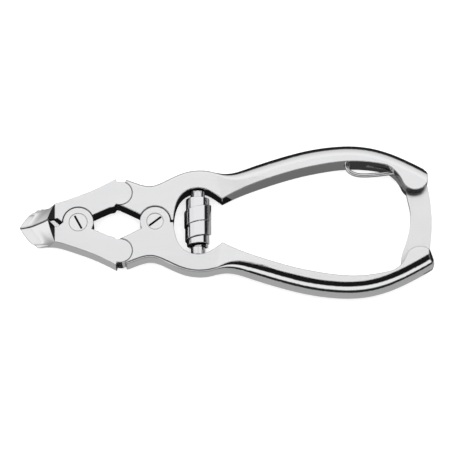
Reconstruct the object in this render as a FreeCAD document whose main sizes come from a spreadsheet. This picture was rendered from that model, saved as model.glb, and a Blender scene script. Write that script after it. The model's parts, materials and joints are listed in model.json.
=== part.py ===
"""Compound-action nail nipper: two jaws, two handles, four pivots, barrel spring and lock bar.

The piece frame used while building has its origin on the rear (handle) pivot axis at
mid-thickness, +X towards the handle ends, +Y towards the upper handle and +Z towards the
side with the raised cutting horn.  Every sub-part is then placed so that the part's own
origin lies under the middle of the tool, on the surface it rests on.
Upper pieces have side = +1 and lower pieces side = -1.
"""
import FreeCAD, Part
import math
import os

Vector = FreeCAD.Vector
UPPER = 1
LOWER = -1
SIDE_NAME = {UPPER: "upper", LOWER: "lower"}

doc = FreeCAD.newDocument("nail_nipper")

# ---------------------------------------------------------------- driving dimensions (mm, degrees)
SIZES = {
    # overall
    "tip_x": -46.1,
    "end_x": 93.9,
    "joint_thick": 7.8,
    "grip_thick": 10.0,
    # pivots and knuckles
    "jaw_pivot_x": -25.9,
    "knuckle_x": -11.8,
    "knuckle_y": 10.1,
    "lap_radius": 5.1,
    "lap_recess_radius": 5.4,
    "lap_gap": 0.06,
    "seam_half_gap": 0.35,
    "disc_radius": 4.05,
    "disc_recess_radius": 4.2,
    "tongue_thick": 3.0,
    "fork_slot": 3.1,
    "edge_round": 0.8,
    # pivot screws
    "jaw_screw_head_radius": 3.0,
    "handle_screw_head_radius": 2.7,
    "screw_head_height": 1.4,
    "screw_seat_gap": 0.05,
    "screw_shoulder_radius": 1.9,
    "screw_thread_radius": 1.5,
    "handle_bore_play": 0.03,
    "jaw_bore_play": 0.08,
    "screw_slot_width": 0.7,
    "screw_slot_depth": 0.7,
    "screw_slot_long": 5.1,
    "jaw_screw_slot_turn": -62.0,
    "handle_screw_slot_turn": 37.0,
    # pins
    "pin_radius": 1.5,
    "pin_play": 0.05,
    "pin_cover": 0.7,
    # head
    "tip_z": -2.3,
    "edge_low_x": -42.6,
    "edge_low_z": -0.3,
    "edge_middle_x": -40.1,
    "edge_middle_z": 2.6,
    "edge_high_x": -37.2,
    "edge_high_z": 6.6,
    "horn_x": -36.0,
    "horn_z": 8.6,
    "horn_base_x": -33.8,
    "heel_x": -39.4,
    "head_half_width": 6.75,
    "edge_gap": 0.03,
    "relief_slope": 0.23,
    "relief_end_x": -31.1,
    "relief_end_slope": 0.85,
    # grip
    "grip_start_out_x": 20.3,
    "grip_start_out_y": 17.1,
    "grip_start_in_x": 22.7,
    "grip_start_in_y": 7.6,
    "rib_depth": 14.0,
    "flat_trim": 0.02,
    "outer_flat": 0.5,
    "upper_lobe_x": 88.0,
    "upper_lobe_y": 14.3,
    "upper_lobe_radius": 4.55,
    "upper_lobe_end_angle": -17.0,
    "upper_end_x": 92.5,
    "upper_end_crown": 0.3,
    "lower_lobe_x": 88.9,
    "lower_lobe_y": 15.1,
    "lower_lobe_radius": 5.05,
    "lower_lobe_end_angle": -48.0,
    "lower_end_crown": 2.0,
    # barrel spring and its posts
    "spring_x": 14.4,
    "spring_half_long": 8.55,
    "spring_end_radius": 4.0,
    "spring_mid_radius": 4.45,
    "spring_bore_radius": 2.5,
    "post_collar_radius": 2.45,
    "post_collar_inner_y": 8.6,
    "post_collar_outer_y": 11.1,
    "post_pilot_radius": 1.9,
    "post_pilot_end_y": 5.4,
    "post_shank_radius": 1.5,
    "post_shank_end_y": 14.2,
    # lock bar, its pin and the catch wire
    "lock_pivot_x": 88.2,
    "lock_pivot_y": 13.6,
    "lock_bar_thick": 1.6,
    "lock_slot": 1.8,
    "lock_slot_root_x": 78.0,
    "lock_slot_wall_y": 18.6,
    "lock_eye_radius": 3.8,
    "lock_head_x": 88.8,
    "lock_head_y": 14.0,
    "lock_head_radius": 3.55,
    "catch_notch_x": 85.5,
    "catch_notch_y": 11.55,
    "catch_notch_radius": 1.2,
    "wire_groove_start_x": 71.5,
    "wire_groove_end_x": 80.0,
    "wire_groove_floor_y": 20.0,
    "wire_radius": 0.75,
    "wire_bore_radius": 0.8,
    "wire_bore_x": 65.0,
    "wire_bore_top_y": 22.4,
}

sheet = doc.addObject("Spreadsheet::Sheet", "sizes")
for row, (alias, number) in enumerate(SIZES.items(), start=1):
    sheet.set(f"A{row}", alias)
    sheet.set(f"B{row}", str(number))
    sheet.setAlias(f"B{row}", alias)
doc.recompute()


def size(alias):
    """One driving dimension, read back from the spreadsheet."""
    return float(getattr(sheet, alias))


def bind(item, prop, formula):
    """Tie a property to the sheet; a formula is written with bare alias names."""
    words = []
    for word in formula.replace("(", " ( ").replace(")", " ) ").split():
        words.append(f"sizes.{word}" if word in SIZES else word)
    item.setExpression(prop, " ".join(words))


# ---------------------------------------------------------------- building blocks
def cylinder(name, radius, low, high, x="0", y="0"):
    """A vertical cylinder from height low to height high; every argument is a formula."""
    item = doc.addObject("Part::Cylinder", name)
    bind(item, "Radius", radius)
    bind(item, "Height", f"( {high} ) - ( {low} )")
    bind(item, "Placement.Base.x", x)
    bind(item, "Placement.Base.y", y)
    bind(item, "Placement.Base.z", low)
    return item


def block(name, x_span, y_span, z_span):
    """An upright box between pairs of formulas."""
    item = doc.addObject("Part::Box", name)
    for prop, axis, span in (("Length", "x", x_span), ("Width", "y", y_span), ("Height", "z", z_span)):
        bind(item, prop, f"( {span[1]} ) - ( {span[0]} )")
        bind(item, f"Placement.Base.{axis}", span[0])
    return item


def fuse(name, shapes):
    item = doc.addObject("Part::MultiFuse", name)
    item.Shapes = shapes
    return item


def cut(name, base, tool):
    item = doc.addObject("Part::Cut", name)
    item.Base = base
    item.Tool = tool
    return item


def common(name, first, second):
    item = doc.addObject("Part::MultiCommon", name)
    item.Shapes = [first, second]
    return item


def edge_curves(runs, side=UPPER):
    """Curves of a closed outline, mirrored in Y for lower pieces.

    A run is ("line", p, q), ("arc", p, middle, q) or ("curve", p, ..., q)."""
    curves = []
    for kind, *points in runs:
        spots = [Vector(x, side * y, 0) for x, y in points]
        if kind == "line":
            curves.append(Part.LineSegment(*spots))
        elif kind == "arc":
            curves.append(Part.Arc(*spots))
        else:
            curve = Part.BSplineCurve()
            curve.interpolate(spots)
            curves.append(curve)
    return curves


def polygon(points):
    """Straight runs through the points and back to the first one."""
    return [("line", p, q) for p, q in zip(points, points[1:] + points[:1])]


def new_sketch(body, name, plane, curves):
    """A sketch on one of the body's own origin planes."""
    sketch = body.newObject("Sketcher::SketchObject", name)
    face = [f for f in body.Origin.OriginFeatures if f.Role == plane][0]
    sketch.AttachmentSupport = [(face, "")]
    sketch.MapMode = "FlatFace"
    for curve in curves:
        sketch.addGeometry(curve, False)
    return sketch


def padded(name, curves, low, high, plane="XY_Plane"):
    """A body that is one padded sketch between two heights (formulas)."""
    body = doc.addObject("PartDesign::Body", name)
    sketch = new_sketch(body, name + "_sketch", plane, curves)
    bind(sketch, "AttachmentOffset.Base.z", low)
    pad = body.newObject("PartDesign::Pad", name + "_pad")
    pad.Profile = sketch
    bind(pad, "Length", f"( {high} ) - ( {low} )")
    body.Tip = pad
    return body


def revolved(name, points):
    """A body turned about its own Y axis from a closed (radius, y) profile of runs."""
    body = doc.addObject("PartDesign::Body", name)
    sketch = new_sketch(body, name + "_sketch", "XY_Plane", points)
    turn = body.newObject("PartDesign::Revolution", name + "_turn")
    turn.Profile = sketch
    turn.ReferenceAxis = (sketch, ["V_Axis"])
    turn.Angle = 360.0
    body.Tip = turn
    return body


def carried(name, levels, stations):
    """A smooth loft through level outlines, one at each (x, z) station."""
    outlines = []
    for number, (curves, (x, z)) in enumerate(zip(levels, stations), start=1):
        outline = doc.addObject("Sketcher::SketchObject", f"{name}_sketch_{number}")
        for curve in curves:
            outline.addGeometry(curve, False)
        outline.Placement.Base = Vector(x, 0, z)
        outlines.append(outline)
    item = doc.addObject("Part::Loft", name)
    item.Sections = outlines
    item.Solid = True
    return item


HALF_JOINT = "joint_thick / 2"
PAST = 1.0                       # how far a cutter runs past the face it opens


def lap_heights(side):
    """Heights of the half-lap that a piece keeps: upper pieces lie underneath at both pivots."""
    if side == UPPER:
        return f"0 - {HALF_JOINT}", "0 - lap_gap / 2"
    return "lap_gap / 2", HALF_JOINT


def recess_heights(side):
    """Heights cleared for the other piece's half-lap."""
    if side == UPPER:
        return "0 - lap_gap / 2", f"{HALF_JOINT} + {PAST}"
    return f"0 - {HALF_JOINT} - {PAST}", "lap_gap / 2"


def signed(side, formula):
    return formula if side == UPPER else f"0 - {formula}"


def lap_disc(name, side, x):
    low, high = lap_heights(side)
    return cylinder(name + "_lap", "lap_radius", low, high, x)


def lap_recess(name, side, x):
    low, high = recess_heights(side)
    return cylinder(name + "_lap_recess", "lap_recess_radius", low, high, x)


def pivot_bores(name, side, x, head_radius, play):
    """Upper pieces hold the screw's thread; lower pieces turn on its shoulder under its head."""
    if side == UPPER:
        low = f"0 - {HALF_JOINT} - {PAST}"
        return [cylinder(name + "_tapped", "screw_thread_radius", low, f"{PAST}", x)]
    seat = f"{HALF_JOINT} - screw_head_height - screw_seat_gap"
    shoulder = cylinder(name + "_bore", f"screw_shoulder_radius + {play}", f"0 - {PAST}", f"{HALF_JOINT}", x)
    counterbore = cylinder(name + "_seat", f"{head_radius} + {play}", seat, f"{HALF_JOINT} + {PAST}", x)
    return [shoulder, counterbore]


# ---------------------------------------------------------------- jaws
def edge_stations(low, high):
    """The hollow cutting edge as (x, z) stations, carried on straight past its tip and horn."""
    names = ("tip", "edge_low", "edge_middle", "edge_high", "horn")
    known = [(size(n + "_x"), size(n + "_z")) for n in names]

    def beyond(near, far, z):
        return near[0] + (near[0] - far[0]) / (near[1] - far[1]) * (z - near[1])

    first = (beyond(known[0], known[1], low), low)
    last = (beyond(known[-1], known[-2], high), high)
    return [first, *known, last]


def jaw_plan(side):
    """Seen from above: nose block, waist, flare to the knuckle, stepped end, window edge, seam."""
    gap = size("edge_gap")
    pivot_x = size("jaw_pivot_x")
    knuckle = (size("knuckle_x"), size("knuckle_y"))
    nose = (size("tip_x") - 2.0, size("head_half_width"))
    heel = (size("heel_x"), size("head_half_width"))
    corner = (-13.2, 15.1)
    window = (-15.4, 5.0)
    runs = [
        ("line", (nose[0], gap), nose),
        ("line", nose, heel),
        ("curve", heel, (-36.6, 6.55), (-33.7, 6.75), (-30.6, 7.55), (-27.6, 8.6), (-23.5, 10.1),
         (-19.5, 11.8), (-16.2, 13.45), corner),
        ("line", corner, knuckle),
        ("line", knuckle, (-13.2, 6.1)),
        ("line", (-13.2, 6.1), (-13.8, 5.3)),
        ("line", (-13.8, 5.3), window),
        ("line", window, (pivot_x + 4.0, 2.1)),
        ("line", (pivot_x + 4.0, 2.1), (pivot_x, gap)),
        ("line", (pivot_x, gap), (nose[0], gap)),
    ]
    return edge_curves(runs, side)


# How full the cheeks of the head are at each station, from under the tip to above the horn.
CHEEK_FULLNESS = (0.8, 0.9, 1.0, 1.15, 1.4, 1.5, 1.5)


def cheek_outline(side, fullness):
    """One level of the head's outside, spreading back from the cutting edge."""
    cheek = [(0, 0), (2.0, 2.2), (4.0, 4.2), (6.4, 6.1), (8.1, 6.8)]
    cheek = [(x, y * fullness) for x, y in cheek]
    back = (14.0, 12.0 * fullness)
    corners = [cheek[-1], back, (60.0, 30.0 * fullness), (60.0, -2.0), (0, -2.0), cheek[0]]
    runs = [("curve", *cheek)] + [("line", p, q) for p, q in zip(corners, corners[1:])]
    return edge_curves(runs, side)


def head_lean(name, side, stations):
    """Leaning form under the hollow outside of the head; its foremost line is the cutting edge."""
    levels = [cheek_outline(side, fullness) for fullness in CHEEK_FULLNESS]
    return carried(name, levels, stations)


def head_relief(name, side, stations):
    """The hollow behind the cutting edges: a leaning wedge that closes again before the pivot."""
    gap = size("edge_gap")
    reach = 20.0
    wedge = [(0, gap), (reach, gap + size("relief_slope") * reach), (reach, -2.0), (0, -2.0)]
    level = edge_curves(polygon(wedge), side)
    lean = carried(name + "_wedge", [level] * len(stations), stations)
    end_x = size("relief_end_x")
    end_slope = size("relief_end_slope")
    stop = [(end_x, gap), (end_x, -3.0), (end_x - reach, -3.0), (end_x - reach, gap + end_slope * reach)]
    low = stations[0][1]
    high = stations[-1][1]
    limit = padded(name + "_limit", edge_curves(polygon(stop), side), str(low), str(high))
    return common(name, lean, limit)


def side_prism(name, points):
    """A cutter with an (x, z) outline that runs right across the tool."""
    curves = edge_curves(polygon(points))
    return padded(name, curves, "-30", "30", plane="XZ_Plane")


def make_jaw(side):
    name = SIDE_NAME[side] + "_jaw"
    half = size("joint_thick") / 2
    low = -half - PAST
    high = size("horn_z") + PAST
    horn = (size("horn_x"), size("horn_z"))
    base = (size("horn_base_x"), half)
    tip = (size("tip_x"), size("tip_z"))
    heel = (size("heel_x"), -half)
    plan = padded(name + "_plan", jaw_plan(side), f"0 - {HALF_JOINT}", "horn_z")
    stations = edge_stations(low, high)
    blank = common(name + "_blank", plan, head_lean(name + "_lean", side, stations))
    above = side_prism(name + "_above", [horn, base, (5.0, half), (5.0, high + 5), (horn[0] - 1, high + 5)])
    slope = (heel[1] - tip[1]) / (heel[0] - tip[0])
    ahead = (tip[0] - 4.0, tip[1] - 4.0 * slope)
    below = side_prism(name + "_below", [heel, ahead, (ahead[0], low - 3), (heel[0], low - 3)])
    knuckle_y = signed(side, "knuckle_y")
    cheeks = cylinder(name + "_cheeks", "disc_radius", f"0 - {HALF_JOINT}", HALF_JOINT,
                      "knuckle_x", knuckle_y)
    lap = lap_disc(name, side, "jaw_pivot_x")
    trimmed = cut(name + "_trimmed", blank, fuse(name + "_trims", [above, below]))
    relieved = cut(name + "_relieved", trimmed, head_relief(name + "_relief", side, stations))
    body = fuse(name + "_body", [relieved, cheeks, lap])
    fork = cylinder(name + "_fork", "disc_recess_radius", "0 - fork_slot / 2", "fork_slot / 2",
                    "knuckle_x", knuckle_y)
    pin_hole = cylinder(name + "_pin_hole", "pin_radius", f"0 - {HALF_JOINT} - {PAST}",
                        f"{HALF_JOINT} - pin_cover", "knuckle_x", knuckle_y)
    openings = [lap_recess(name, side, "jaw_pivot_x"), fork, pin_hole]
    openings += pivot_bores(name, side, "jaw_pivot_x", "jaw_screw_head_radius", "jaw_bore_play")
    return cut(name, body, fuse(name + "_openings", openings))


# ---------------------------------------------------------------- handles
def grip_ribs():
    """Sections along the grip: outer contour x, y, half thickness, outer rounding, lean from -Y to +X.

    The full ribs stand a hair proud of the grip's thickness, and its plan prism trims them flat."""
    start_x = size("grip_start_out_x")
    start_y = size("grip_start_out_y")
    lean = math.degrees(math.atan2(size("grip_start_in_x") - start_x, start_y - size("grip_start_in_y")))
    full = size("grip_thick") / 2 + size("flat_trim")
    ribs = [
        (start_x, start_y, size("joint_thick") / 2, size("edge_round"), lean),
        (23.5, 16.9, 4.15, 2.3, 16.5),
        (27.5, 17.65, 4.5, 3.7, 19.5),
        (31.9, 19.2, 4.85, 4.4, 20.0),
    ]
    full_ribs = [(37.0, 21.0, 18.5), (44.5, 23.3, 15.0), (52.0, 25.15, 10.5), (59.0, 26.2, 5.0),
                 (65.8, 26.55, -1.0), (73.0, 25.8, -9.5), (80.0, 23.7, -19.0), (86.7, 20.6, -27.0),
                 (92.5, 17.4, -30.0), (98.0, 14.2, -30.0)]
    ribs += [(x, y, full, full - size("outer_flat") / 2, turn) for x, y, turn in full_ribs]
    return ribs


def rib_wire(rib, side):
    """One upright D-shaped section: flat inside, rounded outside."""
    x, y, half, rounding, lean = rib
    out = Vector(x, side * y, 0)
    inward = Vector(math.sin(math.radians(lean)), -side * math.cos(math.radians(lean)), 0)
    depth = size("rib_depth")
    bulge = rounding * (1 - math.sqrt(0.5))

    def spot(u, z):
        return out + inward * u + Vector(0, 0, z)

    flat = half - rounding
    edges = [
        Part.LineSegment(spot(0, -flat), spot(0, flat)),
        Part.Arc(spot(0, flat), spot(bulge, half - bulge), spot(rounding, half)),
        Part.LineSegment(spot(rounding, half), spot(depth, half)),
        Part.LineSegment(spot(depth, half), spot(depth, -half)),
        Part.LineSegment(spot(depth, -half), spot(rounding, -half)),
        Part.Arc(spot(rounding, -half), spot(bulge, -half + bulge), spot(0, -flat)),
    ]
    return Part.Wire([e.toShape() for e in edges])


def grip_skin(name, side):
    """The grip's thickness and outer rounding, as one smooth loft through the ribs."""
    item = doc.addObject("Part::Feature", name)
    item.Shape = Part.makeLoft([rib_wire(rib, side) for rib in grip_ribs()], True, False)
    return item


def grip_plan(side):
    """The grip from above: inner wall, neck and end lobe; the outside is left to the skin."""
    word = SIDE_NAME[side]
    radius = size(word + "_lobe_radius")
    lobe = Vector(size(word + "_lobe_x"), size(word + "_lobe_y"), 0)

    def on_lobe(angle):
        turn = math.radians(angle)
        return (lobe.x + radius * math.cos(turn), lobe.y + radius * math.sin(turn))

    end_x = size("upper_end_x") if side == UPPER else size("end_x")
    start = (size("grip_start_in_x"), size("grip_start_in_y"))
    neck = (78.6, 18.55)
    lobe_in = on_lobe(205)
    lobe_out = on_lobe(size(word + "_lobe_end_angle"))
    neck_middle = (lobe_in[0] - 2.2, lobe_in[1] + 3.7)
    ahead = (start[0] - 1.0, start[1])
    runs = [
        ("curve", start, (28.6, 10.6), (35.3, 13.25), (42.0, 15.5), (49.5, 17.55), (57.3, 19.1),
         (65.4, 20.0), (73.0, 19.6), neck),
        ("arc", neck, neck_middle, lobe_in),
        ("arc", lobe_in, on_lobe(-90), lobe_out),
        ("line", lobe_out, (end_x, 14.8)),
        ("arc", (end_x, 14.8), (end_x - 0.3, 16.1), (end_x - 1.2, 17.3)),
        ("line", (end_x - 1.2, 17.3), (86.0, 32.0)),
        ("line", (86.0, 32.0), (15.5, 32.0)),
        ("line", (15.5, 32.0), ahead),
        ("line", ahead, start),
    ]
    return edge_curves(runs, side)


def grip_end(name, side):
    """Side view of the grip: a long flat bar whose far end is crowned between its two faces."""
    half = size("grip_thick") / 2 + PAST
    end_x = size("upper_end_x") if side == UPPER else size("end_x")
    crown = size(SIDE_NAME[side] + "_end_crown")
    flat_half = size("grip_thick") / 2
    radius = (flat_half ** 2 + crown ** 2) / (2 * crown)
    back = end_x - radius + math.sqrt(radius ** 2 - half ** 2)
    runs = [
        ("line", (0, -half), (back, -half)),
        ("arc", (back, -half), (end_x, 0), (back, half)),
        ("line", (back, half), (0, half)),
        ("line", (0, half), (0, -half)),
    ]
    return padded(name, edge_curves(runs), "-30", "30", plane="XZ_Plane")


def handle_plan(side):
    """The front of a handle from above, up to the plane where the grip starts."""
    seam = size("seam_half_gap")
    knuckle = (size("knuckle_x"), size("knuckle_y"))
    start_out = (size("grip_start_out_x"), size("grip_start_out_y"))
    start_in = (size("grip_start_in_x"), size("grip_start_in_y"))
    corner = (-9.6, 14.85)
    window = (-9.3, 4.7)
    boss = (-4.0, 2.05)
    opening = (6.15, seam)
    runs = [
        ("curve", corner, (-6.3, 13.65), (-3.6, 12.8), (-1.2, 12.6), (1.6, 13.4), (5.9, 15.5),
         (9.8, 17.1), (14.8, 17.9), start_out),
        ("line", start_out, start_in),
        ("curve", start_in, (19.1, 10.2), (16.9, 11.25), (14.2, 11.6), (11.0, 10.8), (8.6, 8.8),
         (6.9, 5.2), opening),
        ("line", opening, (0, seam)),
        ("line", (0, seam), boss),
        ("line", boss, window),
        ("line", window, (-11.9, 5.9)),
        ("line", (-11.9, 5.9), knuckle),
        ("line", knuckle, corner),
    ]
    return edge_curves(runs, side)


def outer_edges(shape, half):
    """Names of the long edges where the outside wall meets the two faces."""
    names = []
    for index, edge in enumerate(shape.Edges, start=1):
        box = edge.BoundBox
        flat = box.ZLength < 0.01 and abs(abs(box.Center.z) - half) < 0.01
        if flat and edge.Length > 30 and max(abs(box.YMin), abs(box.YMax)) > 17:
            names.append(f"Edge{index}")
    return names


def handle_front(name, side):
    """Padded front plate with its two outside edges broken."""
    body = padded(name, handle_plan(side), f"0 - {HALF_JOINT}", HALF_JOINT)
    doc.recompute()
    pad = body.Tip
    rounding = body.newObject("PartDesign::Fillet", name + "_rounding")
    rounding.Base = (pad, outer_edges(pad.Shape, size("joint_thick") / 2))
    bind(rounding, "Radius", "edge_round")
    body.Tip = rounding
    return body


def lock_slots(name, side):
    """The slot that forks the handle's end; the upper one runs on as a groove behind the wire."""
    y_inner = "5"
    spans = [("lock_slot_root_x", f"end_x + {PAST}", "lock_slot_wall_y")]
    if side == UPPER:
        spans.append(("wire_groove_start_x", "wire_groove_end_x", "wire_groove_floor_y"))
    blocks = []
    for number, (x_low, x_high, y_floor) in enumerate(spans, start=1):
        y_span = (y_inner, y_floor) if side == UPPER else (f"0 - {y_floor}", f"0 - {y_inner}")
        z_span = ("0 - lock_slot / 2", "lock_slot / 2")
        blocks.append(block(f"{name}_slot_{number}", (x_low, x_high), y_span, z_span))
    return blocks


def cross_bore(name, side, radius, x, y_low, y_high):
    """A bore along Y, towards the outside of the handle."""
    item = cylinder(name, radius, y_low, y_high, x)
    item.setExpression("Placement.Base.z", None)
    item.Placement.Base.z = 0
    bind(item, "Placement.Base.y", signed(side, f"( {y_low} )"))
    item.Placement.Rotation = FreeCAD.Rotation(Vector(1, 0, 0), -90 * side)
    return item


def make_handle(side):
    name = SIDE_NAME[side] + "_handle"
    half_grip = "grip_thick / 2"
    knuckle_y = signed(side, "knuckle_y")
    plan = padded(name + "_grip_plan", grip_plan(side), f"0 - {half_grip}", half_grip)
    skin = common(name + "_capped_skin", grip_skin(name + "_skin", side), grip_end(name + "_end", side))
    grip = common(name + "_grip", skin, plan)
    tongue = cylinder(name + "_tongue", "disc_radius", "0 - tongue_thick / 2", "tongue_thick / 2",
                      "knuckle_x", knuckle_y)
    lap = lap_disc(name, side, "0")
    body = fuse(name + "_body", [handle_front(name + "_front", side), grip, tongue, lap])
    over = cylinder(name + "_over", "disc_recess_radius", "tongue_thick / 2", f"{HALF_JOINT} + {PAST}",
                    "knuckle_x", knuckle_y)
    under = cylinder(name + "_under", "disc_recess_radius", f"0 - {HALF_JOINT} - {PAST}",
                     "0 - tongue_thick / 2", "knuckle_x", knuckle_y)
    knuckle_bore = cylinder(name + "_knuckle_bore", "pin_radius + pin_play", f"-{PAST} - tongue_thick / 2",
                            f"tongue_thick / 2 + {PAST}", "knuckle_x", knuckle_y)
    post_bore = cross_bore(name + "_post_bore", side, "post_shank_radius", "spring_x",
                           "post_collar_outer_y - 1", "post_shank_end_y")
    openings = [lap_recess(name, side, "0"), over, under, knuckle_bore, post_bore]
    openings += pivot_bores(name, side, "0", "handle_screw_head_radius", "handle_bore_play")
    openings += lock_slots(name, side)
    if side == LOWER:
        openings.append(cylinder(name + "_lock_pin_hole", "pin_radius", f"0 - {half_grip} - {PAST}",
                                 f"{half_grip} - pin_cover", "lock_pivot_x", "0 - lock_pivot_y"))
    else:
        openings.append(cross_bore(name + "_wire_bore", side, "wire_bore_radius", "wire_bore_x",
                                   "wire_groove_floor_y - 1", "wire_bore_top_y"))
    return cut(name, body, fuse(name + "_openings", openings))


# ---------------------------------------------------------------- screws and pins
def make_pivot_screw(name, x, head_radius, turn):
    """Slotted head, plain shoulder and thread, flush with both faces."""
    head = cylinder(name + "_head", head_radius, f"{HALF_JOINT} - screw_head_height", HALF_JOINT, x)
    shoulder = cylinder(name + "_shoulder", "screw_shoulder_radius", "0 - lap_gap / 2", HALF_JOINT, x)
    thread = cylinder(name + "_thread", "screw_thread_radius", f"0 - {HALF_JOINT}", "0", x)
    solid = fuse(name + "_solid", [head, shoulder, thread])
    slot = block(name + "_slot", ("0 - screw_slot_long / 2", "screw_slot_long / 2"),
                 ("0 - screw_slot_width / 2", "screw_slot_width / 2"),
                 (f"{HALF_JOINT} - screw_slot_depth", f"{HALF_JOINT} + {PAST}"))
    doc.recompute()
    corner = Vector(slot.Placement.Base)
    for axis in "xyz":
        slot.setExpression(f"Placement.Base.{axis}", None)
    centre_x = size("jaw_pivot_x") if x == "jaw_pivot_x" else 0.0
    turned = FreeCAD.Placement(Vector(centre_x, 0, 0), FreeCAD.Rotation(Vector(0, 0, 1), size(turn)))
    slot.Placement = turned.multiply(FreeCAD.Placement(corner, FreeCAD.Rotation()))
    return cut(name, solid, slot)


def make_pin(name, thick, x, y):
    """A plain pin pushed in from underneath, stopping short of the top face."""
    return cylinder(name, "pin_radius", f"0 - {thick} / 2", f"{thick} / 2 - pin_cover", x, y)


# ---------------------------------------------------------------- spring and posts
def make_post(side):
    """Shank in the handle, collar under the spring's end and pilot inside it."""
    shank = size("post_shank_radius")
    collar = size("post_collar_radius")
    pilot = size("post_pilot_radius")
    inner = size("post_collar_inner_y")
    outer = size("post_collar_outer_y")
    profile = [(0, size("post_pilot_end_y")), (pilot, size("post_pilot_end_y")), (pilot, inner),
               (collar, inner), (collar, outer), (shank, outer),
               (shank, size("post_shank_end_y")), (0, size("post_shank_end_y"))]
    body = revolved(SIDE_NAME[side] + "_spring_post", edge_curves(polygon(profile), side))
    bind(body, "Placement.Base.x", "spring_x")
    return body


def make_spring():
    """Outer form of the closed barrel spring, hollow along its axis."""
    half = size("spring_half_long")
    end = size("spring_end_radius")
    bore = size("spring_bore_radius")
    runs = [
        ("arc", (end, -half), (size("spring_mid_radius"), 0), (end, half)),
        ("line", (end, half), (bore, half)),
        ("line", (bore, half), (bore, -half)),
        ("line", (bore, -half), (end, -half)),
    ]
    body = revolved("barrel_spring", edge_curves(runs))
    bind(body, "Placement.Base.x", "spring_x")
    return body


# ---------------------------------------------------------------- lock
def make_lock_bar():
    """Flat curved bar: pivot eye with a flared side below, notched head above."""
    def on_circle(centre, radius, angle):
        turn = math.radians(angle)
        return (centre[0] + radius * math.cos(turn), centre[1] + radius * math.sin(turn))

    eye = (size("lock_pivot_x"), -size("lock_pivot_y"))
    eye_radius = size("lock_eye_radius")
    head = (size("lock_head_x"), size("lock_head_y"))
    head_radius = size("lock_head_radius")
    head_right = on_circle(head, head_radius, -20)
    head_left = on_circle(head, head_radius, 190)
    eye_right = on_circle(eye, eye_radius, 14)
    eye_left = on_circle(eye, eye_radius, 230)
    flare = (82.7, -14.9)
    runs = [
        ("arc", head_right, (93.4, 0), eye_right),
        ("arc", eye_right, on_circle(eye, eye_radius, -90), eye_left),
        ("line", eye_left, flare),
        ("curve", flare, (82.8, -13.2), (83.2, -11.4), (84.2, -8.8), (85.05, -6.2), (85.85, -3.2),
         (86.3, 0.5), (86.15, 4.0), (85.4, 7.8), (85.1, 10.6)),
        ("line", (85.1, 10.6), head_left),
        ("arc", head_left, on_circle(head, head_radius, 90), head_right),
    ]
    plate = padded("lock_bar_plate", edge_curves(runs), "0 - lock_bar_thick / 2", "lock_bar_thick / 2")
    cutters = []
    for name, radius, x, y in (
        ("lock_bar_eye", "pin_radius + pin_play", "lock_pivot_x", "0 - lock_pivot_y"),
        ("lock_bar_notch", "catch_notch_radius", "catch_notch_x", "catch_notch_y"),
    ):
        cutters.append(cylinder(name, radius, f"-{PAST} - lock_bar_thick", f"lock_bar_thick + {PAST}", x, y))
    return cut("lock_bar", plate, fuse("lock_bar_openings", cutters))


CATCH_ROUTE = [(65.0, 22.2), (65.0, 18.3), (68.2, 16.3), (73.5, 16.4), (79.3, 17.0), (82.6, 17.6),
               (84.35, 15.6), (84.4, 12.3), (85.6, 11.5)]


def rounded_path(points):
    """Straight runs joined by tangent arcs, each as large as its two runs allow."""
    spots = [Vector(x, y, 0) for x, y in points]
    edges = []
    here = spots[0]
    for before, corner, after in zip(spots, spots[1:], spots[2:]):
        back = (before - corner).normalize()
        ahead = (after - corner).normalize()
        reach = 0.45 * min((before - corner).Length, (after - corner).Length)
        start = corner + back * reach
        end = corner + ahead * reach
        bisector = (back + ahead).normalize()
        half_turn = (math.pi - back.getAngle(ahead)) / 2
        radius = reach / math.tan(half_turn)
        centre = corner + bisector * (radius / math.cos(half_turn))
        middle = centre - bisector * radius
        edges.append(Part.LineSegment(here, start).toShape())
        edges.append(Part.Arc(start, middle, end).toShape())
        here = end
    edges.append(Part.LineSegment(here, spots[-1]).toShape())
    return Part.Wire(edges)


def make_catch_spring():
    """Bent wire: fixed end in the upper handle, bow, and hooked end in the lock bar's notch."""
    path = rounded_path(CATCH_ROUTE)
    first = Vector(*CATCH_ROUTE[0], 0)
    ring = Part.Wire([Part.Circle(first, Vector(0, -1, 0), size("wire_radius")).toShape()])
    item = doc.addObject("Part::Feature", "catch_spring")
    item.Shape = path.makePipeShell([ring], True, False)
    return item


# ---------------------------------------------------------------- assembly
def build():
    """Every sub-part, in the piece frame."""
    parts = []
    for side in (UPPER, LOWER):
        word = SIDE_NAME[side]
        parts.append(make_jaw(side))
        parts.append(make_handle(side))
        parts.append(make_post(side))
        parts.append(make_pin(word + "_knuckle_pin", "joint_thick", "knuckle_x", signed(side, "knuckle_y")))
    parts.append(make_pivot_screw("jaw_pivot_screw", "jaw_pivot_x", "jaw_screw_head_radius",
                                  "jaw_screw_slot_turn"))
    parts.append(make_pivot_screw("handle_pivot_screw", "0", "handle_screw_head_radius",
                                  "handle_screw_slot_turn"))
    parts.append(make_spring())
    parts.append(make_lock_bar())
    parts.append(make_pin("lock_bar_pin", "grip_thick", "lock_pivot_x", "0 - lock_pivot_y"))
    parts.append(make_catch_spring())
    return parts


def place(parts):
    """Move every sub-part so that the origin is under the middle of the tool."""
    offset = {"x": "0 - ( tip_x + end_x ) / 2", "z": "grip_thick / 2"}
    for part in parts:
        part.Label = part.Name
        for axis, formula in offset.items():
            prop = f"Placement.Base.{axis}"
            held = [text for path, text in part.ExpressionEngine if path.lstrip(".") == prop]
            if held:
                shift = " ".join(f"sizes.{w}" if w in SIZES else w for w in formula.split())
                part.setExpression(prop, f"{held[0]} + ( {shift} )")
            else:
                bind(part, prop, formula)


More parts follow.
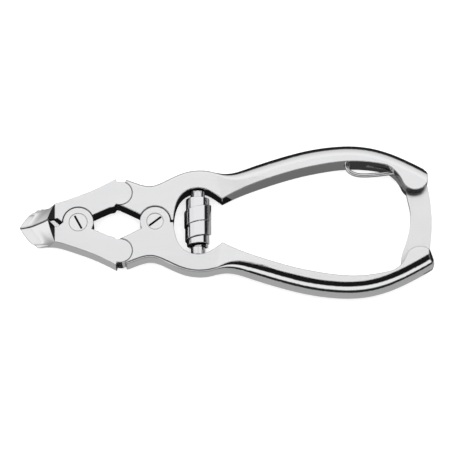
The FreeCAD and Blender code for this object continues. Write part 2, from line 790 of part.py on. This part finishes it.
def check(parts):
    """Stop unless every object and every sub-part's shape is sound."""
    failed = [o.Name for o in doc.Objects if "Invalid" in o.State or "Error" in o.State]
    if failed:
        raise RuntimeError(f"failed objects: {failed}")
    for part in parts:
        shape = part.Shape
        if shape.isNull() or not shape.isValid() or len(shape.Solids) != 1:
            raise RuntimeError(f"{part.Label}: bad shape, {len(shape.Solids)} solids")


def write(parts):
    os.makedirs("parts", exist_ok=True)
    for part in parts:
        part.Shape.exportStep(os.path.join("parts", part.Label + ".step"))
        box = part.Shape.BoundBox
        print(f"{part.Label:20s} volume {part.Shape.Volume:9.2f} mm3  "
              f"x {box.XMin:7.2f} {box.XMax:7.2f}  y {box.YMin:7.2f} {box.YMax:7.2f}  "
              f"z {box.ZMin:6.2f} {box.ZMax:6.2f}")


subparts = build()
doc.recompute()
place(subparts)
doc.recompute()
check(subparts)
write(subparts)
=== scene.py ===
"""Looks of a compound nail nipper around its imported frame: steel finishes with broken edges, the
wound barrel spring, the bent catch wire, and a studio for polished metal.

The frame's axes are kept: X from the cutting head (-) to the grips (+), Y across, Z up from the
floor. Lengths are metres, or millimetres where a comment says so."""
import json
import math

import bmesh
import bpy
from mathutils import Matrix, Vector


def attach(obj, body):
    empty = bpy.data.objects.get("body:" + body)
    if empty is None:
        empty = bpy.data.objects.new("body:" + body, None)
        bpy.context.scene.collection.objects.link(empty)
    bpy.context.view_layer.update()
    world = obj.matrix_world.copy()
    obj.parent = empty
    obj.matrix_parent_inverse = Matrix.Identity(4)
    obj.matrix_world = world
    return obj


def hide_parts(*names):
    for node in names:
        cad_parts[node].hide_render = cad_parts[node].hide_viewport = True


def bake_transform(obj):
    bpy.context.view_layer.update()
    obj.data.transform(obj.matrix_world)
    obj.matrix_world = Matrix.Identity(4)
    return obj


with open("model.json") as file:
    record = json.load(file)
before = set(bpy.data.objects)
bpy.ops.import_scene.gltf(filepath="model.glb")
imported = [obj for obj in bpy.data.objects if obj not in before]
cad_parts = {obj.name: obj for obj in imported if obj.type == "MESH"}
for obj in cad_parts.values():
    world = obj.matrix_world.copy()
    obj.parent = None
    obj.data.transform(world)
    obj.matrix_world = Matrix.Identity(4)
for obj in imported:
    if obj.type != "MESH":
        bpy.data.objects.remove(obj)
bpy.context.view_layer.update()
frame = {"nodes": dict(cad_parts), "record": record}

MM = 0.001
BODY_OF = {node: body for body, nodes in frame["record"]["behaviour"]["bodies"].items() for node in nodes}
SLOT_OF = {part["node"]: part["material_slot"] for part in frame["record"]["subparts"]}


# ---------------------------------------------------------------- camera
ELEVATION = math.radians(74.0)
ROLL = math.radians(-0.7)
DISTANCE = 1.0
MID_HEIGHT = 5.0 * MM                        # Z of the tool's middle plane
SENSOR = 36.0                                # mm, as is the lens
LENS = 236.56                                # at DISTANCE it shows a width of about 152 mm
SHIFT = (-0.0022222, -0.0031111)             # share of the picture's width


def make_camera():
    """A long lens that looks down on the tool from the side of -Y."""
    centre = Vector((0.0, 0.0, MID_HEIGHT))
    data = bpy.data.cameras.new("camera")
    data.sensor_width = SENSOR
    data.lens = LENS
    data.clip_start = 0.05
    data.clip_end = 10.0
    data.shift_x, data.shift_y = SHIFT
    camera = bpy.data.objects.new("camera", data)
    bpy.context.scene.collection.objects.link(camera)
    camera.location = centre + Vector((0, -math.cos(ELEVATION), math.sin(ELEVATION))) * DISTANCE
    aim = (centre - camera.location).to_track_quat("-Z", "Y")
    camera.rotation_mode = "QUATERNION"
    camera.rotation_quaternion = aim @ Matrix.Rotation(ROLL, 4, "Z").to_quaternion()
    bpy.context.scene.camera = camera


# ---------------------------------------------------------------- node helpers
class Net:
    """A small helper that adds nodes to one material or world and links them."""

    def __init__(self, tree):
        self.nodes = tree.nodes
        self.links = tree.links

    def put(self, socket, value):
        """Links an output to a socket, or sets the socket to a plain value."""
        if isinstance(value, bpy.types.NodeSocket):
            self.links.new(value, socket)
        else:
            socket.default_value = value

    def math(self, operation, first, second=None):
        node = self.nodes.new("ShaderNodeMath")
        node.operation = operation
        self.put(node.inputs[0], first)
        if second is not None:
            self.put(node.inputs[1], second)
        return node.outputs[0]

    def ramp(self, value, stops):
        """A grey ramp through stops of (position, tone)."""
        node = self.nodes.new("ShaderNodeValToRGB")
        elements = node.color_ramp.elements
        while len(elements) < len(stops):
            elements.new(0.5)
        for element, (place, tone) in zip(elements, stops):
            element.position = place
            element.color = (tone, tone, tone, 1)
        self.links.new(value, node.inputs[0])
        return node.outputs[0]

    def span(self, value, low, high, to_low=0.0, to_high=1.0):
        """Goes softly from to_low to to_high as value goes from low to high, and stays there."""
        node = self.nodes.new("ShaderNodeMapRange")
        node.interpolation_type = "SMOOTHSTEP"
        self.put(node.inputs["Value"], value)
        for name, number in (("From Min", low), ("From Max", high), ("To Min", to_low), ("To Max", to_high)):
            node.inputs[name].default_value = number
        return node.outputs["Result"]

    def mix(self, factor, first, second):
        """Mixes two numbers."""
        node = self.nodes.new("ShaderNodeMix")
        node.data_type = "FLOAT"
        self.put(node.inputs[0], factor)
        self.put(node.inputs[2], first)
        self.put(node.inputs[3], second)
        return node.outputs[0]

    def colour(self, factor, first, second):
        """Mixes two colours."""
        node = self.nodes.new("ShaderNodeMix")
        node.data_type = "RGBA"
        self.put(node.inputs[0], factor)
        self.put(node.inputs[6], first)
        self.put(node.inputs[7], second)
        return node.outputs[2]

    def wobble(self, value, middle, depth):
        """A value's departure from its middle, times a depth."""
        return self.math("MULTIPLY", self.math("SUBTRACT", value, middle), depth)

    def axes(self, vector):
        node = self.nodes.new("ShaderNodeSeparateXYZ")
        self.links.new(vector, node.inputs[0])
        return node.outputs

    def noise(self, vector, stretch, detail, roughness):
        """Noise with a separate frequency, in cycles per metre, along each axis."""
        scale = self.nodes.new("ShaderNodeVectorMath")
        scale.operation = "MULTIPLY"
        self.links.new(vector, scale.inputs[0])
        scale.inputs[1].default_value = stretch
        node = self.nodes.new("ShaderNodeTexNoise")
        node.inputs["Scale"].default_value = 1.0
        node.inputs["Detail"].default_value = detail
        node.inputs["Roughness"].default_value = roughness
        self.links.new(scale.outputs[0], node.inputs["Vector"])
        return node.outputs["Fac"]


# ---------------------------------------------------------------- steel
BARE = (0.84, 0.84, 0.85)
BRUSHED = (0.78, 0.78, 0.79)
DRAWN = (0.80, 0.80, 0.81)
# Painted dark tones: a reflection along broken edges, shade on screw slot floors, a reflection on the horn
# backs and a reflection strip along the lower blade's edge
EDGE_REFLECTION_TONE = (0.2, 0.2, 0.205, 1)
SLOT_FLOOR_SHADE = (0.012, 0.012, 0.013, 1)
HORN_BACK_REFLECTION = (0.01, 0.01, 0.01, 1)
EDGE_STRIP_REFLECTION = (0.02, 0.02, 0.02, 1)
EDGE_REFLECTION_DEPTH = 0.45                             # how far the painted dark reflection takes a broken edge towards its dark tone
FINE_EDGE = 0.05 * MM
SHADER_SAMPLES = 6
SCREW_SLOT_Z = 8.75 * MM                     # under this height a screw's slot gets painted shade and a dull roughness
SLOT_ROUGHNESS = 0.6
FLAT_FACE = (0.975, 0.998)                   # share of Z in a normal, from a side to a flat face
CREVICE_SHADE = (0.15, 0.72)                       # share of open sky, from a crevice to open metal, over which the painted crevice shade fades out
EDGE_LEAN = (0.998, 0.955)                   # cosine of an edge's rounding, from no painted edge reflection to the full one
CLOUD = (90, 90, 90)                         # soft unevenness, in cycles per metre along X, Y, Z
SMEAR = (260, 420, 300)                      # marks of polishing
SCRATCH = (60, 2600, 900)                    # long fine scratches
HORN_FACING = (0.4, 0.6)                     # share of X in a normal, up to the horn's back
HORN_ROUGHNESS = 0.5
HORN_START = (-52 * MM, -54 * MM)            # X where the painted dark reflection on the horn backs fades in
STRIP_START = (-56.5 * MM, -60.0 * MM)       # X where the painted dark reflection strip along the blade's edge fades in
STRIP_INNER = (0.05 * MM, 0.12 * MM)         # fade of its side at the blades' meeting line
STRIP_OUTER = (0.62 * MM, 0.45 * MM)         # fade of its far side
STRIP_DEPTH = 0.95                           # how far the painted reflection strip goes towards its dark tone


def paint_horn_reflection(net, facing, spot, bright, rough):
    """Paints a dark reflection on the backs of the horn, which face +X, and makes them dull."""
    back = net.math("MULTIPLY", net.span(facing["X"], *HORN_FACING), net.span(spot["X"], *HORN_START))
    return net.colour(back, bright, HORN_BACK_REFLECTION), net.mix(back, rough, HORN_ROUGHNESS)


def paint_edge_strip_reflection(net, spot, bright):
    """Paints a dark reflection strip along the lower blade's edge, on the side towards -Y."""
    across = net.math("MULTIPLY", spot["Y"], -1.0)
    reflection_band = net.math("MULTIPLY", net.span(across, *STRIP_INNER), net.span(across, *STRIP_OUTER))
    reflection_band = net.math("MULTIPLY", reflection_band, net.span(spot["X"], *STRIP_START))
    return net.colour(net.math("MULTIPLY", reflection_band, STRIP_DEPTH), bright, EDGE_STRIP_REFLECTION)


def paint_crevice_shade(net, bright, reach, crevice_shade_tone):
    """Paints shade on the metal within reach of a neighbouring wall, darkening it towards the given shade
    tone.
    """
    crevice = net.nodes.new("ShaderNodeAmbientOcclusion")
    crevice.samples = SHADER_SAMPLES
    crevice.inputs["Distance"].default_value = reach
    return net.colour(net.span(crevice.outputs["AO"], *CREVICE_SHADE), (crevice_shade_tone, crevice_shade_tone, crevice_shade_tone, 1), bright)


def broken_edges(net, bright, radius):
    """Rounds sharp edges by radius in the shading and paints a dark reflection along them; returns the colour
    and the normal.
    """
    edge = net.nodes.new("ShaderNodeBevel")
    edge.samples = SHADER_SAMPLES
    edge.inputs["Radius"].default_value = radius
    surface = net.nodes.new("ShaderNodeNewGeometry")
    lean = net.nodes.new("ShaderNodeVectorMath")
    lean.operation = "DOT_PRODUCT"
    net.links.new(edge.outputs["Normal"], lean.inputs[0])
    net.links.new(surface.outputs["Normal"], lean.inputs[1])
    edge_reflection = net.math("MULTIPLY", net.span(lean.outputs["Value"], *EDGE_LEAN), EDGE_REFLECTION_DEPTH)
    return net.colour(edge_reflection, bright, EDGE_REFLECTION_TONE), edge.outputs["Normal"]


def steel(name, tone, face_rough, side_rough, grain, recess_z=None, edge_radius=0.12 * MM,
          horn=False, strip=False, reach=2.2 * MM, crevice_shade_tone=0.03):
    """Stainless steel: satin on the flat faces, polished on rounded and upright ones.

    grain is the stroke frequency along X, Y and Z; recess_z is a height under which the metal gets
    painted shade and a dull roughness, as in a screw slot; edge_radius is how far a sharp edge is broken,
    with a painted dark reflection along it; horn and strip add a jaw's painted dark reflection on the
    horn backs and a painted dark reflection strip along the blade's edge; within reach of a neighbouring
    wall the metal gets painted shade, darkening towards the given shade tone."""
    material = bpy.data.materials.new(name)
    material.use_nodes = True
    net = Net(material.node_tree)
    shader = net.nodes["Principled BSDF"]
    shader.inputs["Metallic"].default_value = 1.0
    coords = net.nodes.new("ShaderNodeTexCoord")
    place = coords.outputs["Object"]
    facing = net.axes(coords.outputs["Normal"])
    spot = net.axes(place)
    flat = net.span(net.math("ABSOLUTE", facing["Z"]), *FLAT_FACE)
    strokes = net.noise(place, grain, 4.0, 0.6)
    cloud = net.noise(place, CLOUD, 2.0, 0.5)
    smear = net.noise(place, SMEAR, 3.0, 0.6)
    scratch = net.span(net.noise(place, SCRATCH, 1.0, 0.4), 0.66, 0.74)

    face = net.math("ADD", face_rough, net.wobble(strokes, 0.5, 0.10))
    face = net.math("ADD", face, net.wobble(cloud, 0.5, 0.05))
    side = net.math("ADD", side_rough, net.wobble(smear, 0.45, 0.05))
    rough = net.math("ADD", net.mix(flat, side, face), net.math("MULTIPLY", scratch, 0.05))
    shade = net.math("MULTIPLY", net.wobble(strokes, 0.5, 0.16), flat)
    darker, lighter = ((*[depth * v for v in tone], 1) for depth in (0.93, 1.07))
    bright = net.colour(net.math("ADD", 0.5, shade), darker, lighter)
    # painted shade on the floor of the screw slots, with a real dull roughness
    if recess_z is not None:
        slot_shade = net.span(spot["Z"], recess_z, recess_z - 0.15 * MM)
        bright = net.colour(slot_shade, bright, SLOT_FLOOR_SHADE)
        rough = net.mix(slot_shade, rough, SLOT_ROUGHNESS)
    # painted dark reflection on the horn backs, with a real dull roughness
    if horn:
        bright, rough = paint_horn_reflection(net, facing, spot, bright, rough)
    # painted dark reflection strip along the lower blade's edge
    if strip:
        bright = paint_edge_strip_reflection(net, spot, bright)
    # painted shade in crevices and beside neighbouring walls
    bright = paint_crevice_shade(net, bright, reach, crevice_shade_tone)
    # painted dark reflection along the broken edges
    bright, rounded = broken_edges(net, bright, edge_radius)
    net.links.new(bright, shader.inputs["Base Color"])
    net.links.new(rough, shader.inputs["Roughness"])
    bump = net.nodes.new("ShaderNodeBump")
    bump.inputs["Strength"].default_value = 0.12
    bump.inputs["Distance"].default_value = 0.004 * MM
    net.links.new(net.math("MULTIPLY", strokes, flat), bump.inputs["Height"])
    net.links.new(rounded, bump.inputs["Normal"])
    net.links.new(bump.outputs["Normal"], shader.inputs["Normal"])
    return material


UPPER_JAW = steel("upper_jaw_steel", BARE, 0.22, 0.09, (70, 1500, 700), edge_radius=0.32 * MM, horn=True)
LOWER_JAW = steel("lower_jaw_steel", BARE, 0.22, 0.09, (70, 1500, 700), edge_radius=0.32 * MM, horn=True,
                  strip=True)
# the lock bar's wide reach paints shade on it beside the handle lobes
LOCK_BAR = steel("lock_bar_steel", BARE, 0.24, 0.16, (1300, 60, 700), reach=7.0 * MM, crevice_shade_tone=0.12)
POLISHED = steel("polished_steel", BARE, 0.22, 0.06, (80, 1400, 700), edge_radius=0.5 * MM)
SCREW = steel("screw_steel", BARE, 0.20, 0.10, (900, 900, 300), recess_z=SCREW_SLOT_Z, edge_radius=FINE_EDGE)
PIN = steel("pin_steel", BRUSHED, 0.24, 0.14, (700, 700, 300))
SPRING = steel("spring_steel", DRAWN, 0.10, 0.07, (900, 260, 900), edge_radius=FINE_EDGE)
WIRE = steel("wire_steel", BARE, 0.10, 0.08, (900, 260, 900), edge_radius=FINE_EDGE)

NODE_FINISH = {"upper_jaw": UPPER_JAW, "lower_jaw": LOWER_JAW, "lock_bar": LOCK_BAR}
SLOT_FINISH = {"polished_steel": POLISHED, "screw_steel": SCREW, "pin_steel": PIN, "spring_steel": SPRING}


# ---------------------------------------------------------------- pieces
CREASE = math.radians(32.0)                  # a sharper fold than this stays a crisp edge


def dress(piece, material):
    """Gives a piece its finish, smooth on its curved faces and crisp at its edges."""
    piece.data.materials.clear()
    piece.data.materials.append(material)
    for polygon in piece.data.polygons:
        polygon.use_smooth = True
    piece.data.set_sharp_from_angle(angle=CREASE)
    weighted = piece.modifiers.new("weighted", "WEIGHTED_NORMAL")
    weighted.keep_sharp = True


def stand_for(piece, node, material):
    """Finishes and links a new piece that stands for a CAD node."""
    dress(piece, material)
    bpy.context.scene.collection.objects.link(piece)
    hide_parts(node)


def mesh_object(name, points, rings, ring_size):
    """A closed tube of rings of points, with a flat cap at each end."""
    faces = [tuple(reversed(range(ring_size)))]
    for ring in range(rings - 1):
        low = ring * ring_size
        for side in range(ring_size):
            following = (side + 1) % ring_size
            faces.append((low + side, low + following, low + ring_size + following, low + ring_size + side))
    faces.append(tuple(range((rings - 1) * ring_size, rings * ring_size)))
    mesh = bpy.data.meshes.new(name)
    mesh.from_pydata(points, [], faces)
    mesh.validate()
    shell = bmesh.new()
    shell.from_mesh(mesh)
    bmesh.ops.recalc_face_normals(shell, faces=shell.faces)
    shell.to_mesh(mesh)
    shell.free()
    return bpy.data.objects.new(name, mesh)


for node, cad_piece in frame["nodes"].items():
    dress(cad_piece, NODE_FINISH.get(node) or SLOT_FINISH[SLOT_OF[node]])


# ---------------------------------------------------------------- barrel spring
SPRING_AXIS = (-9.5 * MM, MID_HEIGHT)        # X and Z of the axis, which runs along Y
SPRING_TOP = 8.55 * MM                       # Y of the end on the upper post
TURNS = (-0.45, 3.85)                        # first and last turn of the strip
STEPS = 320
# (turn, distance in mm from the upper end to the strip's leading edge)
SEAM = [(-0.5, 0.0), (0.2, 0.0), (0.5, 0.9), (0.75, 2.1), (1.0, 3.45), (1.25, 4.8), (1.75, 7.5),
        (2.0, 8.75), (2.25, 10.1), (2.75, 12.6), (3.0, 13.8), (3.25, 15.0), (3.75, 15.8), (4.0, 16.2),
        (4.5, 16.8), (4.9, 17.1)]
# (turn, outer radius in mm): widest in the barrel's middle, so each turn laps inside the next
COIL_RADIUS = [(-0.5, 3.9), (0.25, 4.0), (0.5, 4.15), (0.75, 4.6), (1.25, 4.65), (1.75, 4.5),
               (2.25, 4.4), (2.5, 4.1), (2.75, 3.75), (3.25, 3.85), (3.75, 3.4), (4.0, 3.35)]
THICKNESS = 0.55                             # of the strip, mm
STRIP_GAP = 0.16                             # open seam between one turn and the next, mm
CORNER = 0.14                                # rounding of the strip's corners, mm
CORNER_POINTS = 4


def along(table, turn):
    """The value a table gives at a turn, smoothed a little between its rows."""
    def plain(place):
        place = min(max(place, table[0][0]), table[-1][0])
        for (low, first), (high, second) in zip(table, table[1:]):
            if place <= high:
                return first + (second - first) * (place - low) / (high - low)
        return table[-1][1]
    return sum(plain(turn + shift) for shift in (-0.12, -0.06, 0.0, 0.06, 0.12)) / 5


def barrel_spring():
    """A flat strip wound into a barrel, each turn lapping on to the next along the axis."""
    points = []
    for step in range(STEPS + 1):
        turn = TURNS[0] + (TURNS[1] - TURNS[0]) * step / STEPS
        first = along(SEAM, turn)
        gap = STRIP_GAP * min(max(turn + 0.3, 0.1), 1.0)
        last = max(along(SEAM, turn + 1.0) - gap, first + 0.3)
        outer = along(COIL_RADIUS, turn)
        inner = outer - THICKNESS
        round_off = min(CORNER, 0.4 * (last - first))
        corners = [(first + round_off, outer - round_off, 180), (last - round_off, outer - round_off, 90),
                   (last - round_off, inner + round_off, 0), (first + round_off, inner + round_off, 270)]
        angle = 2 * math.pi * turn
        for place, radius, start in corners:
            for part in range(CORNER_POINTS):
                swing = math.radians(start - 90 * part / (CORNER_POINTS - 1))
                down = (place + round_off * math.cos(swing)) * MM
                out = (radius + round_off * math.sin(swing)) * MM
                points.append((SPRING_AXIS[0] - out * math.sin(angle), SPRING_TOP - down,
                               SPRING_AXIS[1] + out * math.cos(angle)))
    return mesh_object("wound_spring", points, STEPS + 1, len(corners) * CORNER_POINTS)


spring = barrel_spring()
stand_for(spring, "barrel_spring", SPRING)
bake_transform(spring)


# ---------------------------------------------------------------- catch wire
WIRE_RADIUS = 0.72                           # mm
WIRE_SIDES = 20
WIRE_END = (0.7, 0.92, 1.0)                  # share of the radius from the wire's ends inwards
# X and Y in mm from the bore in the upper grip, along the bow, to the hook in the slot
WIRE_ROUTE = [(41.1, 22.2), (41.1, 18.3), (44.3, 16.3), (49.6, 16.4), (55.4, 17.0), (58.7, 17.6),
              (60.45, 15.6), (60.5, 12.3), (61.7, 11.5)]


def spline(route, per_span):
    """Points on a uniform cubic B-spline that starts and ends on its first and last control point."""
    held = [Vector(route[0])] * 2 + [Vector(point) for point in route] + [Vector(route[-1])] * 2
    found = []
    for a, b, c, d in zip(held, held[1:], held[2:], held[3:]):
        for part in range(per_span):
            t = part / per_span
            found.append(((1 - t) ** 3 * a + (3 * t ** 3 - 6 * t ** 2 + 4) * b
                          + (-3 * t ** 3 + 3 * t ** 2 + 3 * t + 1) * c + t ** 3 * d) / 6)
    found.append(held[-1])
    return found


def catch_wire():
    """A round wire bent to the catch's route, with rounded ends."""
    centres = spline(WIRE_ROUTE, 12)
    points = []
    for place, centre in enumerate(centres):
        before = centres[max(place - 1, 0)]
        after = centres[min(place + 1, len(centres) - 1)]
        heading = (after - before).normalized()
        across = Vector((-heading.y, heading.x))
        ends = min(place, len(centres) - 1 - place)
        radius = WIRE_RADIUS * WIRE_END[min(ends, 2)]
        for side in range(WIRE_SIDES):
            swing = 2 * math.pi * side / WIRE_SIDES
            spot = centre + across * (radius * math.cos(swing))
            points.append((spot.x * MM, spot.y * MM, MID_HEIGHT + radius * math.sin(swing) * MM))
    return mesh_object("bent_wire", points, len(centres), WIRE_SIDES)


wire = catch_wire()
stand_for(wire, "catch_spring", WIRE)
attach(wire, BODY_OF["catch_spring"])


# ---------------------------------------------------------------- stage
FAR = (-2.0, 2.0)
BACK = (0.006, 0.0225)                       # Y under the upper grip
# Cards under the tool that only mirrors see: name, X span, Y span, Z in mm, tone, tone at the right
CARDS = [
    ("grey_card", FAR, FAR, -0.38, 0.42, 0.42),
    ("white_card", (-0.6, -0.078), (-0.3, 0.3), -0.36, 0.98, 0.98),
    ("fading_card", (-0.078, -0.060), (-0.3, 0.3), -0.34, 0.98, 0.32),
    ("behind_card", (-0.056, 0.3), (0.016, 0.4), -0.32, 0.02, 0.02),
    ("nose_card", (-0.0597, -0.047), (-0.004, 0.005), -0.31, 0.008, 0.008),
    ("window_card", (-0.047, -0.0225), (-0.004, 0.016), -0.30, 0.008, 0.008),
    ("opening_card", (-0.0225, -0.0095), (-0.011, 0.016), -0.28, 0.008, 0.008),
    ("edge_card", (-0.0095, 0.0025), (0.006, 0.016), -0.26, 0.008, 0.008),
    ("end_card", (0.066, 0.3), (-0.012, 0.060), -0.30, 0.02, 0.02),
    ("knuckle_card", (-0.0375, -0.0347), (-0.0180, -0.0125), -0.31, 0.01, 0.01),
    ("grip_card", (0.0025, 0.062), BACK, -0.24, 0.17, 0.17),
    ("catch_card", (0.0425, 0.056), BACK, -0.22, 0.04, 0.04),
    ("lobe_card", (0.059, 0.070), (0.004, 0.0225), -0.20, 0.04, 0.04),
]


def plane(name, x_span, y_span, height):
    """A flat rectangle of the stage; returns it and its material's node tree."""
    mesh = bpy.data.meshes.new(name)
    corners = [(x_span[0], y_span[0]), (x_span[1], y_span[0]), (x_span[1], y_span[1]), (x_span[0], y_span[1])]
    mesh.from_pydata([(x, y, height) for x, y in corners], [], [(0, 1, 2, 3)])
    obj = bpy.data.objects.new(name, mesh)
    bpy.context.scene.collection.objects.link(obj)
    material = bpy.data.materials.new(name)
    material.use_nodes = True
    mesh.materials.append(material)
    return obj, material.node_tree


def floor():
    """A plain pale floor, a little below the tool, kept out of reflections."""
    obj, tree = plane("floor", FAR, FAR, -0.4 * MM)
    shader = tree.nodes["Principled BSDF"]
    shader.inputs["Base Color"].default_value = (0.5, 0.5, 0.5, 1)
    shader.inputs["Roughness"].default_value = 0.9
    shader.inputs["Emission Color"].default_value = (1, 1, 1, 1)
    shader.inputs["Emission Strength"].default_value = 0.6
    obj.visible_glossy = False


def card(name, x_span, y_span, height, tone, tone_right):
    """A card that only mirrors see, glowing from one tone at its left to another at its right."""
    obj, tree = plane(name, x_span, y_span, height * MM)
    net = Net(tree)
    glow = net.nodes.new("ShaderNodeEmission")
    net.links.new(glow.outputs[0], net.nodes["Material Output"].inputs["Surface"])
    glow.inputs["Color"].default_value = (tone, tone, tone, 1)
    if tone_right != tone:
        coords = net.nodes.new("ShaderNodeTexCoord")
        shade = net.span(net.axes(coords.outputs["Object"])["X"], *x_span)
        fade = net.colour(shade, (tone, tone, tone, 1), (tone_right, tone_right, tone_right, 1))
        net.links.new(fade, glow.inputs["Color"])
    obj.visible_camera = False
    obj.visible_diffuse = False
    obj.visible_shadow = False
    obj.visible_transmission = False


def make_world():
    """A softbox tent: bright above, with a dark slit overhead, and dark low down towards -Y.

    The tent's tone goes by the angle from straight up towards -Y, and its ends along X by the
    share of X in the direction."""
    world = bpy.data.worlds.new("studio")
    bpy.context.scene.world = world
    world.use_nodes = True
    net = Net(world.node_tree)
    coords = net.nodes.new("ShaderNodeTexCoord")
    axes = net.axes(coords.outputs["Generated"])
    towards = net.math("MULTIPLY", axes["Y"], -1.0)
    angle = net.math("ARCTAN2", towards, axes["Z"])
    turn = net.math("ADD", net.math("DIVIDE", angle, 2 * math.pi), 0.5)

    def at(degrees):
        return degrees / 360 + 0.5

    back = [(at(-180), 0.1), (at(-90), 0.05), (at(-84), 0.7), (at(-40), 1.0)]
    slit = [(at(-9), 1.0), (at(-7), 0.01), (at(34), 0.01), (at(38), 0.95)]
    front = [(at(63), 0.95), (at(67), 0.02), (at(97), 0.02), (at(104), 0.2)]
    tent = net.ramp(turn, back + slit + front)
    whole = net.ramp(turn, back + front)
    left = net.ramp(turn, [(at(-180), 0.5), (at(-100), 0.95), (at(60), 0.95), (at(110), 0.85)])
    black = (0.02, 0.02, 0.02, 1)
    slit_ends = net.span(net.math("ABSOLUTE", axes["X"]), 0.62, 0.8, 1.0, 0.0)
    light = net.colour(slit_ends, whole, tent)                             # the slit stops before the ends
    light = net.colour(net.span(axes["X"], -0.50, -0.58), light, left)     # a pale end past the head
    light = net.colour(net.span(axes["X"], 0.78, 0.86), light, black)      # a black end past the grips
    light = net.colour(net.span(axes["X"], -0.90, -0.94), light, black)    # and past the pale end
    net.links.new(light, net.nodes["Background"].inputs["Color"])


def make_light():
    """One very soft overhead sun for the floor, kept out of reflections."""
    data = bpy.data.lights.new("soft_top", "SUN")
    data.energy = 3.6
    data.angle = math.radians(70)
    lamp = bpy.data.objects.new("soft_top", data)
    lamp.visible_glossy = False
    bpy.context.scene.collection.objects.link(lamp)


make_camera()
floor()
for row in CARDS:
    card(*row)
make_world()
make_light()
bpy.context.scene.view_settings.view_transform = "Standard"
